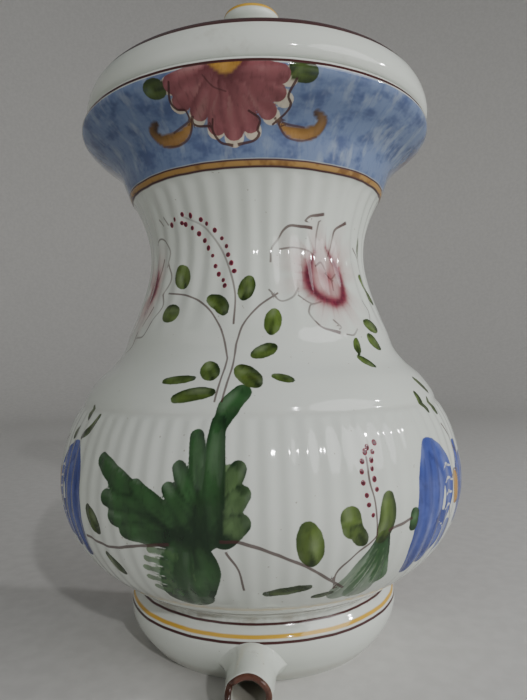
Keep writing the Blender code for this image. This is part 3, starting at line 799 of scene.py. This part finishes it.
def paintBulb(brush):
    paintFern(brush)
    for run, width in (([(-44, 87), (-35, 85), (-26, 89), (-18, 92)], 1.5),
                       ([(-5, 95.2), (-1.8, 95), (2.4, 92), (5.5, 89), (11, 83), (14.7, 78),
                         (22.5, 66)], 1.5),
                       ([(-4.4, 89), (-2.2, 80), (-1.5, 69)], 1.1),
                       ([(27, 131), (27, 120), (28, 110), (28.8, 94)], 1.0),
                       ([(32.5, 95), (38.4, 98)], 1.4),
                       ([(28.5, 92), (23, 83), (20, 75), (20.5, 66)], 1.0)):
        brush.line(run, 0.9, width=width)
    brush.coat(1)
    leaf(brush, [(12.6, 99.5), (13.8, 84.5)], 13.5, 0.15, -0.3)
    brush.stroke([(22, 104), (22.5, 99)], 11.5, "leafLight", "leafDark", rim=0.5, mottle=0.3)
    leaf(brush, [(23, 98), (25.4, 91)], 8.5, 0.35)
    leaf(brush, [(31.7, 111), (31.4, 100), (30, 91.5)], 10.5, 0.05)
    # a spray of blades, painted with a spread brush
    brush.coat(0)
    for tip, width, out in (((23, 62), 15, 0.7), ((28.5, 62), 18, 0.75), ((33, 68), 11, 1.0)):
        middle = (31 + (tip[0] - 31) * 0.45, 78)
        brush.stroke([(30.8, 91.5), middle, tip], [8, width * 0.8, width], "fernLight", "fernDark",
                     rim=0.25, along=(0.8, 0.1), fadeOut=(1.0, out), mottle=0.45)
    brush.coat(2)
    for turn in (21.5, 24, 26.5, 29, 31.5):
        brush.stroke([(30.2 + (turn - 27) * 0.2, 86), (29.2 + (turn - 27) * 0.6, 76), (turn, 63)],
                     [0.9, 1.9, 1.5], "fernPale", "white", rim=0.0, opacity=0.7, soft=0.8,
                     along=(0.1, 0.6), mottle=0.3)
    brush.coat(1)
    leaf(brush, [(3.8, 65.5), (9, 67), (14, 68.5)], 6, 0.6)
    leaf(brush, [(15.8, 61), (20.5, 62.5)], 4.5, 0.7)
    brush.stroke([(39.8, 100.5), (39.6, 94)], [6.5, 6], "fernLight", "fernDark", rim=0.5,
                 along=(0.3, 0.5))
    for points, width in (([(-52.5, 155), (-51.5, 149)], 5),
                          ([(-45.5, 151), (-47.5, 144), (-51, 139)], 5),
                          ([(-55.5, 143), (-57, 138)], 5), ([(-41.5, 103), (-38.5, 93)], 9),
                          ([(-37.5, 79), (-34.5, 70)], 7), ([(60, 168), (65, 160)], 5),
                          ([(53.5, 160), (56.5, 150)], 5.4), ([(61, 156), (62, 148)], 5)):
        leaf(brush, points, width, 0.3)


# A large blue flower seen from the side: petals, a scalloped inner edge and a yellow heart. It
# sits outward by shift and leans outward below by lean, in degrees, and is shortened by reach.
def paintBlueFlower(brush, way, shift, lean, reach):
    def at(angle, height):
        return (way * (angle + shift + lean * (129 - height) / 60), 129 - (129 - height) * reach)

    brush.coat(0)
    brush.stroke([at(48.6, 128), at(47.4, 114), at(46.2, 98), at(44.8, 82), at(43, 68)],
                 [19, 27, 27, 21, 9], "blueLight", "blueDark", rim=0.2, along=(0.1, 0.6),
                 mottle=0.35)
    brush.stroke([at(50.5, 130), at(54.5, 122), at(56, 108), at(55, 95)], [13, 15, 12, 9],
                 "blueLight", "blueDark", rim=0.3, mottle=0.35)
    brush.stroke([at(52, 90), at(51, 80), at(48, 71)], [14, 13, 7], "blueLight", "blueDark",
                 rim=0.3, along=(0.3, 0.6), mottle=0.35)
    brush.stroke([at(57, 86), at(57, 77), at(55, 70)], [8, 9, 5], "blueLight", "blueDark", rim=0.35,
                 mottle=0.35, opacity=0.8)
    for turn, height in ((66.5, 127), (73, 120), (76, 108), (73, 96), (67.5, 86)):
        brush.stroke([at(62.5, 106), at((62.5 + turn) / 2, (106 + height) / 2), at(turn, height)],
                     [5, 11, 10], "blueLight", "blueDark", rim=0.35, along=(0.5, 0.0), mottle=0.35)
    brush.coat(1)
    for height in (119, 111.5, 104, 96.5):
        brush.stroke([at(53.2, height - 1), at(55.4, height + 1.6), at(58.6, height - 0.6)],
                     [0.8, 2.0, 1.2], "white", "white", rim=0.0, opacity=0.92, mottle=0.0)
    for turn, top in ((45, 126), (48, 129), (51, 127)):
        brush.stroke([at(turn, top), at(turn - 1, 114), at(turn - 1.6, 98)], [2.8, 4.2, 2.4],
                     "blueDark", "blueDark", opacity=0.5, soft=1.8, rim=0.0, mottle=0.4)
    brush.stroke([at(51, 91), at(53.5, 87.5), at(54.5, 83)], [0.7, 1.5, 0.7], "white", "blueLight",
                 rim=0.0, opacity=0.85)
    brush.stroke([at(61, 111), at(61.6, 101)], [9, 10], "yellow", "ochre", rim=0.4, mottle=0.4)
    brush.line([at(58.5, 113), at(61.5, 116), at(64.8, 112), at(65, 101), at(62, 96.5)], 0.8)
    brush.line([at(61.5, 141), at(64, 132), at(68.5, 120)])
    brush.line([at(57, 96), at(58.5, 86), at(57.5, 76)], 0.6)


def paintCistern(body):
    places = vertexPlaces(body)
    x, depth, height = places[:, 0], places[:, 1] - axisY, places[:, 2]
    around = np.degrees(np.arctan2(x, -depth))
    skinRadius = radiusAt(height)
    straight = depth > 0
    angle = np.where(straight, np.sign(x) * (90 + np.degrees(depth / skinRadius)), around)
    reach = np.where(straight, np.abs(x), np.hypot(x, depth))
    outside = (reach > skinRadius - 4.5) & (np.abs(angle) < 97)
    brush = Brushwork(np.where(outside, angle, 400.0), height, seed=7)
    paintBlooms(brush)
    paintBand(brush)
    paintNeck(brush)
    paintBlueFlower(brush, 1, 0.0, 0.0, 1.0)
    paintBlueFlower(brush, -1, 4.0, 1.5, 0.85)
    paintBulb(brush)
    brush.keepOn(body)
    onBack = fade(places[:, 1], backPlane - cistern["glazeEdge"], backPlane - 0.3)
    under = (height < 2.0) & (reach < radiusAt(0.0) - 1.0)
    keep(body, "bare", np.maximum(onBack, under.astype(float)))
    keep(body, "outside", outside.astype(float))
    skinPlace = np.stack([np.radians(angle) * 100.0, pathAt(height), angle], 1)
    keep(body, "skinPlace", skinPlace, "FLOAT_VECTOR", "vector")
    print("brush strokes", brush.strokes)


glaze = {
    "white": (0.66, 0.695, 0.645),
    "greenish": (0.56, 0.60, 0.53),
    # grime, also laid as painted shade in the body's creases and near its base
    "grimeAndShade": (0.20, 0.15, 0.095),
    "rough": 0.06,
    "wash": (0.165, 0.225, 0.37),       # thin blue of the flared band
    "washDeep": (0.065, 0.095, 0.22),
    "washPale": (0.31, 0.37, 0.46),
    "gold": (0.38, 0.22, 0.065),
    "goldDeep": (0.20, 0.095, 0.025),
    "lineBrown": (0.060, 0.019, 0.019),
    "berry": (0.085, 0.010, 0.022),
    "berryEdge": (0.30, 0.055, 0.085),
    "footYellow": (0.60, 0.36, 0.05),
    "lip": (0.11, 0.045, 0.030),
    "lipDeep": (0.045, 0.018, 0.012),
    # painted shade for the inside of the spout's bore
    "boreShade": (0.45, 0.42, 0.36),
    "bend": 1.5,                        # how strongly light bends in it
}


def whiteGlaze(start, where):
    cloud = noise(start, where, 9.0, 3.0)
    tint = flatPair(start, glaze["white"], glaze["greenish"], cloud.step(0.35, 0.75) * 0.55)
    speck = noise(start, where, 420.0, 1.0).step(0.765, 0.80)
    return flat(start, glaze["grimeAndShade"]).over(tint, speck * 0.5)


def glazeBump(start, where, shader, strength):
    orange = noise(start, where, 160.0, 2.0)
    sag = noise(start, where, 22.0, 1.0)
    bump = start.node("Bump", sockets={"Height": orange * 0.25 + sag, "Strength": strength,
                                       "Distance": 0.002}, output="Normal")
    attach(bump, shader, "Normal")


def finishGlaze(start, where, shader, colour, rough, strength):
    attach(colour, shader, "Base Color")
    attach(rough, shader, "Roughness")
    shader.inputs["IOR"].default_value = glaze["bend"]
    glazeBump(start, where, shader, strength)


def cisternMaterial():
    material, start, shader = newMaterial("paintedGlaze")
    where = start.node("TexCoord", output="Object")
    skin = attribute(start, "skinPlace", "Vector")
    parts = start.node("SeparateXYZ", sockets={"Vector": where})
    height = Wire(start.tree, parts.socket.node.outputs["Z"]) * 1000.0
    skinParts = start.node("SeparateXYZ", sockets={"Vector": skin})
    angle = Wire(start.tree, skinParts.socket.node.outputs["Z"])
    outside = attribute(start, "outside")
    base = whiteGlaze(start, where)

    # darker where the bulb meets the foot, from grime and painted shade; painted shade in the ledge
    # and near the base
    dirt = noise(start, where, 60.0, 4.0, 0.65)
    creaseShadeAndGrime = height.within(39.0, 3.5, 3.0) * dirt.step(0.35, 0.75) * 0.75
    creaseShadeAndGrime = creaseShadeAndGrime + height.within(44.0, 8.0, 7.0) * dirt.step(0.45, 0.9) * 0.35
    creaseShadeAndGrime = creaseShadeAndGrime + height.within(153.5, 0.8, 2.2) * 0.10 + height.within(4.0, 3.0, 3.0) * 0.25
    base = flat(start, glaze["grimeAndShade"]).over(base, creaseShadeAndGrime * outside)

    # the blue band, laid on in wet upright strokes
    wobble = (noise(start, stretched(start, skin, 0.02, 0.0, 0.0), 1.4, 2.0) - 0.5) * 2.4
    brushed = noise(start, stretched(start, skin, 0.10, 0.05, 0.0), 1.0, 3.0, 0.55)
    blots = noise(start, stretched(start, skin, 0.045, 0.06, 0.0), 1.3, 3.0, 0.6)
    fine = noise(start, stretched(start, skin, 0.45, 0.10, 0.0), 1.0, 2.0)
    wash = flatPair(start, glaze["wash"], glaze["washDeep"], blots.step(0.42, 0.66) * 0.85)
    wash = flat(start, glaze["washPale"]).over(wash, brushed.step(0.5, 0.72) * 0.7)
    wash = flat(start, glaze["washDeep"]).over(wash, fine.step(0.5, 0.8) * 0.3)
    bandMask = (height + wobble * 0.4).step(292.0, 293.0) * (1 - height.step(330.3, 331.1))
    base = wash.over(base, bandMask * outside)

    # colours from the brush, a coat at a time
    bristle = noise(start, stretched(start, skin, 0.5, 0.14, 0.0), 1.0, 3.0, 0.55)
    pool = noise(start, stretched(start, skin, 0.12, 0.10, 0.0), 1.0, 2.0)
    ragged = (noise(start, where, 700.0, 2.0) - 0.5) * 0.5
    belowRim = 1 - height.step(331.0, 331.6)
    for coat in range(Brushwork.coats):
        paint = attribute(start, "paint%d" % coat, "Color")
        cover = attribute(start, "paint%d" % coat, "Alpha")
        edge = attribute(start, "paintEdge%d" % coat)
        darker = start.node("HueSaturation", sockets={"Value": 0.62, "Color": paint}, output="Color")
        paler = start.node("HueSaturation", sockets={"Value": 1.4, "Saturation": 0.95, "Color": paint},
                           output="Color")
        paint = darker.over(paint, bristle.step(0.5, 0.72) * 0.6)
        paint = paler.over(paint, pool.step(0.5, 0.75) * 0.55)
        base = paint.over(base, (edge + ragged).step(-0.25, 0.35) * cover * outside * belowRim)

    # drawn lines
    brown = flat(start, glaze["lineBrown"])
    side = attribute(start, "lineSide")
    near = attribute(start, "lineNear")
    strength = attribute(start, "lineStrength")
    weight = noise(start, where, 120.0, 2.0)
    penMask = (1 - (side.size() + (0.5 - weight) * 0.4).step(0.4, 0.78)) * (1 - near.step(1.0, 1.7))
    base = brown.over(base, penMask * strength * 0.92 * outside)

    # banding lines, drawn on the wheel and so a little unsteady
    level = height + wobble * 0.5
    gold = flatPair(start, glaze["gold"], glaze["goldDeep"], weight.step(0.45, 0.65))
    lines = ((gold, 290.2, 1.5, 0.35), (brown, 291.9, 0.45, 0.3), (brown, 288.5, 0.5, 0.35),
             (brown, 332.0, 0.9, 0.3), (brown, 35.6, 0.65, 0.3), (brown, 27.4, 0.75, 0.3),
             (flat(start, glaze["footYellow"]), 30.2, 0.95, 0.4))
    for colour, at, halfWidth, blur in lines:
        base = colour.over(base, level.within(at, halfWidth, blur) * outside)
    onBand = height.step(290.0, 292.0) * (1 - height.step(329, 331))
    base = gold.over(base, angle.size().within(92.0, 1.0, 0.3) * onBand * outside)

    # the back and the base stay bare, past a ragged edge of glaze
    bare = attribute(start, "bare")
    clayMask = (bare + (noise(start, where, 55.0, 3.0) - 0.5) * 0.5).step(0.45, 0.6)
    base = clayColour(start, where).over(base, clayMask)
    grain = noise(start, where, 260.0, 2.0)
    # the painted shade and grime mask also roughens the glaze there
    rough = start.node("Mix", sockets={"Factor": clayMask, "A": glaze["rough"] + creaseShadeAndGrime * 0.5,
                                       "B": 0.86})
    finishGlaze(start, where, shader, base, rough + (grain - 0.5) * 0.05, 0.06)
    return material


def clayColour(start, where):
    clay = {"body": (0.50, 0.345, 0.235), "pale": (0.60, 0.47, 0.36), "dark": (0.27, 0.18, 0.125)}
    cloud = noise(start, where, 26.0, 4.0, 0.6)
    colour = flatPair(start, clay["body"], clay["pale"], cloud.step(0.4, 0.7))
    grit = noise(start, where, 300.0, 3.0, 0.7)
    return flat(start, clay["dark"]).over(colour, grit.step(0.56, 0.75) * 0.6)


def berryMaterial():
    material, start, shader = newMaterial("berryEnamel")
    where = start.node("TexCoord", output="Object")
    tone = noise(start, where, 500.0, 3.0)
    thick = (attribute(start, "rise") + (tone - 0.5) * 0.5).step(0.05, 0.5)
    attach(flatPair(start, glaze["berryEdge"], glaze["berry"], thick), shader, "Base Color")
    attach(0.1 + tone * 0.08, shader, "Roughness")
    return material


# plain white glaze with painted lines at given places along a turned or lofted section
def linedMaterial(name, lines, dirty=0.25):
    material, start, shader = newMaterial(name)
    where = start.node("TexCoord", output="Object")
    base = whiteGlaze(start, where)
    dirt = noise(start, where, 45.0, 4.0, 0.65)
    base = flat(start, glaze["grimeAndShade"]).over(base, dirt.step(0.6, 0.85) * dirty)
    path = attribute(start, "sectionPath") + (noise(start, where, 14.0, 2.0) - 0.5) * 1.2
    for colour, at, halfWidth in lines:
        base = flat(start, glaze[colour]).over(base, path.within(at, halfWidth, 0.35))
    rough = glaze["rough"] + (noise(start, where, 240.0, 2.0) - 0.45) * 0.06
    finishGlaze(start, where, shader, base, rough, 0.05)
    return material


def makeSpout():
    plan = spoutPlan
    turn = np.radians(np.arange(plan["columns"]) * 360 / plan["columns"])
    lift, middle = plan["height"], plan["middle"]
    tipPlane = axisY - plan["reach"]
    chip = 2.2 * np.exp(-((np.degrees(turn) - 158) / 16) ** 2)      # a flake is off its left side
    chip += 0.5 * np.exp(-((np.degrees(turn) - 110) / 22) ** 2) + 0.25 * np.sin(turn * 5 + 1.0)

    def ring(radius, onFoot, inward=0.0):
        x = middle + radius * np.cos(turn)
        z = np.maximum(lift + radius * np.sin(turn), plan["tableGap"])
        footY = axisY - np.sqrt(np.maximum(radiusAt(z) ** 2 - x ** 2, 0))
        y = footY * onFoot + (tipPlane + inward) * (1 - onFoot)
        return np.stack([x, y, z], 1)

    rings = []
    slimmer = np.clip(np.sin(turn), 0, 1) ** 0.7    # millimetres, on its upper side
    skirt = plan["skirt"] + (plan["skirtAbove"] - plan["skirt"]) * np.abs(np.sin(turn)) ** 0.7
    for share in np.linspace(0, 1, 14):             # fillet from the foot into the tube
        sweep = share * math.pi / 2
        radius = plan["tube"] - slimmer + skirt * (1 - math.sin(sweep))
        rings.append(ring(radius, 1 - 0.42 * (1 - math.cos(sweep))))
        rings[-1][:, 1] += 0.6 * (1 - share)        # sunk a little, so that no edge shows
    for share in np.linspace(0.1, 1, 10):           # tube, tapering to the lip
        radius = plan["tube"] - slimmer * (1 - share) + (plan["tip"] - plan["tube"]) * share
        rings.append(ring(radius, 0.58 * (1 - share)))
    outerCount = len(rings)
    lipMiddle, lipHalf = (plan["tip"] + plan["bore"]) / 2, (plan["tip"] - plan["bore"]) / 2
    for share in np.linspace(0.12, 1, 8):           # rounded lip
        sweep = share * math.pi
        rings.append(ring(lipMiddle + lipHalf * math.cos(sweep), 0.0))
        rings[-1][:, 1] += plan["lipRound"] * (1 - math.sin(sweep))
    rings[outerCount - 1][:, 1] += plan["lipRound"]
    for back in (4.0, 9.0, 16.0, 24.0, 36.0):
        rings.append(ring(plan["bore"], 0.0, back))
    for index, points in enumerate(rings):          # the chip and the potter's fingers
        worn = fade(float(index), outerCount - 5, outerCount + 1)
        if index >= outerCount + 8:
            worn = 0.0
        points[:, 1] += chip * worn * 1.5
        points[:, 2] -= 0.35 * worn * np.abs(np.sin(turn))
    spout = loft("spoutTube", rings, capStart=False, capEnd=False, closed=True)
    path = np.concatenate([np.full(plan["columns"], float(i)) for i in range(len(rings))])
    keep(spout, "sectionPath", path - (outerCount - 1))
    print("spout", len(spout.data.polygons), "faces")
    return spout


def spoutMaterial():
    material, start, shader = newMaterial("spoutGlaze")
    where = start.node("TexCoord", output="Object")
    base = whiteGlaze(start, where)
    dirt = noise(start, where, 90.0, 4.0, 0.65)
    row = attribute(start, "sectionPath") + (noise(start, where, 70.0, 2.0) - 0.5) * 2.6
    base = flat(start, glaze["grimeAndShade"]).over(base, dirt.step(0.52, 0.8) * 0.35)
    # painted shade: the glaze is laid greyer and darker deep inside the bore
    inside = row.step(8.0, 10.0)
    base = flat(start, glaze["boreShade"]).over(base, inside * 0.8)
    lip = row.within(3.6, 4.4, 0.9)
    lipBrown = flatPair(start, glaze["lip"], glaze["lipDeep"], dirt.step(0.4, 0.6))
    base = lipBrown.over(base, lip)
    finishGlaze(start, where, shader, base, glaze["rough"] + dirt.step(0.5, 0.8) * 0.25, 0.08)
    return material


lid = {
    "step": 1.0,
    "seatInset": 22.0,          # how far in from the edge the thick rim reaches
    "wall": 7.0,
    "corner": 3.5,
    "easing": 160,              # rounds of smoothing at the top of the dome
    # the edge as (inset, height above the seat), from the tucked-in foot up to the ridge
    "edge": [(7.5, 0.0), (3.0, 0.8), (0.8, 3.2), (0.0, 6.5), (0.5, 11.0), (2.0, 16.0), (4.5, 20.5),
             (7.5, 23.8), (10.5, 25.0), (14.0, 24.4), (18.5, 22.5)],
}


def lidParts():
    low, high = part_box("lid_cover")
    knobLow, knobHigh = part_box("lid_knob")
    centre = (knobLow + knobHigh) / 2 / toMetres
    return {"radius": (high.x - low.x) / 2 / toMetres, "seat": low.z / toMetres,
            "crown": high.z / toMetres, "knobX": centre.x, "knobY": centre.y,
            "knobRadius": (knobHigh.x - knobLow.x) / 2 / toMetres,
            "knobBase": knobLow.z / toMetres, "knobTop": knobHigh.z / toMetres}


def makeLidCover(sizes):
    seat, crown = sizes["seat"], sizes["crown"]
    turnWidth = lid["seatInset"]

    def ring(inset, height, roundness=0.0):
        plan = dRing(sizes["radius"] - inset, height, backPlane - inset, lid["corner"],
                     lid["step"], 40)
        for _ in range(int(lid["easing"] * roundness)):     # the corners ease off up the dome
            plan = (np.roll(plan, 1, axis=0) + 2 * plan + np.roll(plan, -1, axis=0)) / 4
        plan[:, 0] += sizes["knobX"]
        if roundness:
            away = plan[:, :2] - (sizes["knobX"], sizes["knobY"])
            length = np.linalg.norm(away, axis=1)[:, None]
            base = sizes["knobRadius"] * 0.9
            plan[:, :2] = (sizes["knobX"], sizes["knobY"]) + away / length * (
                length * (1 - roundness) + base * roundness)
        return plan

    under = [ring(turnWidth, crown - lid["wall"] - drop, roundness)
             for roundness, drop in ((1.0, 0), (0.85, 0.4), (0.6, 2.2), (0.35, 5.2), (0.15, 9.5))]
    under += [ring(turnWidth, seat + lid["wall"]), ring(turnWidth - 1.5, seat + 2.5),
              ring(turnWidth - 4, seat)]
    edge = smoothRun(lid["edge"], 0.7)
    roll = [ring(inset, seat + height) for inset, height in edge]
    low = seat + lid["edge"][-1][1]
    dome = []
    for share in np.linspace(0.04, 1.0, 26):
        dome.append(ring(turnWidth, low + (crown - low) * math.sin(share * math.pi / 2) ** 1.2,
                         share ** 1.15))
    rings = under + roll + dome
    cover = loft("lidCover", rings)
    middle = np.array([points[0] for points in rings])
    ridge = len(under) + int(edge[:, 1].argmax())       # lines are measured down from the ridge
    path = pathLength(middle) - pathLength(middle)[ridge]
    keep(cover, "sectionPath", np.repeat(path, len(rings[0])))
    print("lid cover", len(cover.data.polygons), "faces")
    return cover


def makeLidFlange():
    low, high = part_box("lid_flange")
    low, high = low / toMetres, high / toMetres
    outer, back, middle = (high.x - low.x) / 2, high.y, (high.x + low.x) / 2

    def ring(inset, height):
        return dRing(outer - inset, height, back - inset, 1.5, 1.5, 24) + (middle, 0, 0)

    wall = lid["wall"]
    rings = [ring(0.0, high.z), ring(0.0, low.z + 2.0), ring(0.6, low.z + 0.6), ring(2.0, low.z),
             ring(wall - 2.0, low.z), ring(wall - 0.6, low.z + 0.6), ring(wall, low.z + 2.0),
             ring(wall, high.z)]
    flange = loft("lidFlange", rings, capStart=False, capEnd=False, closed=True)
    keep(flange, "sectionPath", np.full(len(flange.data.vertices), 60.0))
    flange.data.set_sharp_from_angle(angle=math.radians(50))
    return flange


def makeLidKnob(sizes):
    radius, top, base = sizes["knobRadius"], sizes["knobTop"], sizes["knobBase"]
    side = smoothRun([(0.5, top - 0.2), (8.0, top), (radius - 2.6, top - 0.3),
                      (radius - 0.8, top - 1.1),
                      (radius, top - 3.0), (radius - 0.4, top - 6.2), (radius - 3.5, top - 10.5),
                      (10.4, base + 8.0), (9.8, base + 4.0), (11.0, base + 1.2), (14.0, base)], 0.5)
    turn = np.radians(np.arange(96) * 3.75)
    wave = 1 + 0.008 * np.sin(turn * 2 + 0.7) + 0.004 * np.sin(turn * 5)
    rings = [np.stack([sizes["knobX"] + r * wave * np.cos(turn),
                       sizes["knobY"] + r * wave * np.sin(turn),
                       np.full(len(turn), z)], 1) for r, z in side]
    knob = loft("lidKnob", rings)
    keep(knob, "sectionPath", np.repeat(side[:, 1] - top, len(turn)))
    return knob


def dress(piece, material, body, slot, *nodes):
    piece.data.materials.clear()
    piece.data.materials.append(material)
    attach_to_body(piece, body)
    if nodes:
        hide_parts(*nodes)


body = makeCistern()
paintCistern(body)
dress(body, cisternMaterial(), "cistern", "white_glaze", "foot_wall", "bulb_wall", "neck_wall",
      "flared_band", "back_slab", "floor_plate")
dress(makeSpout(), spoutMaterial(), "cistern", "white_glaze", "spout")
dress(makeBerries(berryRows.values(), 1.4, seed=3), berryMaterial(), "cistern", "white_glaze")
sizes = lidParts()
dress(makeLidCover(sizes), linedMaterial("lidGlaze", [("lineBrown", -6.4, 3.0)], 0.35), "lid",
      "white_glaze", "lid_cover")
dress(makeLidFlange(), linedMaterial("flangeGlaze", [], 0.3), "lid", "white_glaze", "lid_flange")
dress(makeLidKnob(sizes), linedMaterial("knobGlaze", [("footYellow", -1.7, 1.4)], 0.15), "lid",
      "white_glaze", "lid_knob")
print("pieces made")


studio = {
    "floorRadius": 1.6,
    "wallRadius": 2.4,
    "wallHeight": 2.0,
    "floorColour": (0.62, 0.61, 0.59),
    "aimHeight": 0.17,
    "sky": (0.80, 0.84, 0.86),
    "skyStrength": 0.15,
    "key": {"place": (1.9, -1.2, 0.9), "size": 2.0, "power": 36.0},
    "fill": {"place": (-1.2, -1.2, 0.9), "size": 1.4, "power": 1.6},
    "lamps": [{"bearing": 24.5, "rise": 24, "away": 1.9, "size": 0.075, "power": 9.0},
              {"bearing": 82.5, "rise": 24, "away": 1.9, "size": 0.075, "power": 9.0}],
}


def makeFloor():
    turn = np.radians(np.arange(96) * 3.75)
    rings = []
    bend = studio["wallRadius"] - studio["floorRadius"]
    level = [(r, 0.0) for r in (0.4, 0.9, studio["floorRadius"])]
    rise = [(studio["floorRadius"] + bend * math.sin(a), bend * (1 - math.cos(a)))
            for a in np.linspace(0.15, math.pi / 2, 12)]
    for radius, height in [*level, *rise, (studio["wallRadius"], studio["wallHeight"])]:
        rings.append(np.stack([radius * np.cos(turn), radius * np.sin(turn),
                               np.full(len(turn), height)], 1) / toMetres)
    floor = loft("studioFloor", rings, capStart=True, capEnd=False)
    material, start, shader = newMaterial("paleFloor")
    where = start.node("TexCoord", output="Object")
    grain = noise(start, where, 90.0, 3.0)
    pale = studio["floorColour"]
    shade = flatPair(start, pale, tuple(part * 0.93 for part in pale), grain.step(0.3, 0.7))
    attach(shade, shader, "Base Color")
    shader.inputs["Roughness"].default_value = 0.75
    floor.data.materials.append(material)


def makeLight(name, place, size, power, aim):
    lamp = bpy.data.lights.new(name, "AREA")
    lamp.shape = "DISK"
    lamp.size = size
    lamp.energy = power
    holder = bpy.data.objects.new(name, lamp)
    holder.location = place
    holder.rotation_euler = (Vector(aim) - Vector(place)).to_track_quat("-Z", "Y").to_euler()
    bpy.context.scene.collection.objects.link(holder)


def makeLights():
    aim = (0, 0, studio["aimHeight"])
    for name in ("key", "fill"):
        lamp = studio[name]
        makeLight(name + "Light", lamp["place"], lamp["size"], lamp["power"], aim)
    for lamp in studio["lamps"]:
        bearing, rise = math.radians(lamp["bearing"]), math.radians(lamp["rise"])
        away = lamp["away"]
        place = (away * math.sin(bearing) * math.cos(rise),
                 axisY * toMetres - away * math.cos(bearing) * math.cos(rise),
                 studio["aimHeight"] + away * math.sin(rise))
        makeLight("smallLamp", place, lamp["size"], lamp["power"], aim)
    world = bpy.data.worlds.new("studioWorld")
    world.use_nodes = True
    back = world.node_tree.nodes["Background"]
    back.inputs["Color"].default_value = (*studio["sky"], 1.0)
    back.inputs["Strength"].default_value = studio["skyStrength"]
    bpy.context.scene.world = world


camera = {
    "place": (0.0219, -0.3400, 0.1796),
    "heading": 2.69,            # degrees, anticlockwise from above
    "pitch": 1.22,
    "roll": 1.08,
    "lens": 29.3,
}


def makeCamera():
    data = bpy.data.cameras.new("viewCamera")
    data.lens = camera["lens"]
    data.sensor_width = 36.0
    data.clip_start = 0.01
    holder = bpy.data.objects.new("viewCamera", data)
    level = Euler((math.radians(90 + camera["pitch"]), 0, math.radians(camera["heading"])), "XYZ")
    holder.rotation_euler = (level.to_matrix() @ Matrix.Rotation(math.radians(-camera["roll"]), 3, "Z")
                             ).to_euler()
    holder.location = camera["place"]
    bpy.context.scene.collection.objects.link(holder)
    bpy.context.scene.camera = holder


makeFloor()
makeLights()
makeCamera()
print("studio ready")

bpy.context.view_layer.update()
